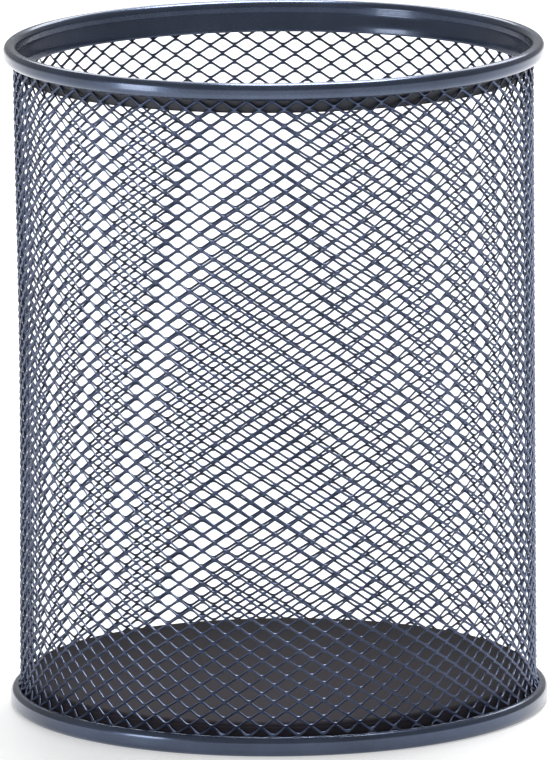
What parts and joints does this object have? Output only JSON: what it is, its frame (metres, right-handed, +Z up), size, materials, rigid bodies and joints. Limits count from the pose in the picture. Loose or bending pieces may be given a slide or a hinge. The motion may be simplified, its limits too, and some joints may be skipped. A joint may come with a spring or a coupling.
{
  "type": "pen holder cup",
  "caption": "Round pen holder cup: a tube of fine expanded steel mesh with a rolled top rim and a pressed base pan, open at the top.",
  "frame": {"origin": "on the table, at the middle of the base bead's resting plane", "axes": "+Z up along the cup's axis, towards the open mouth; +Y away from the viewer, +X to the viewer's right"},
  "size_m": [0.08, 0.08, 0.0995],
  "materials": {
    "mesh_paint": "satin metallic slate blue lacquer on expanded steel mesh",
    "rim_paint": "satin metallic slate blue lacquer on rolled steel strip",
    "base_paint": "satin metallic slate blue lacquer on pressed steel sheet"
  },
  "bodies": {
    "root": {"mesh_sleeve": "mesh_paint", "top_rim": "rim_paint", "base_pan": "base_paint"}
  },
  "joints": []
}
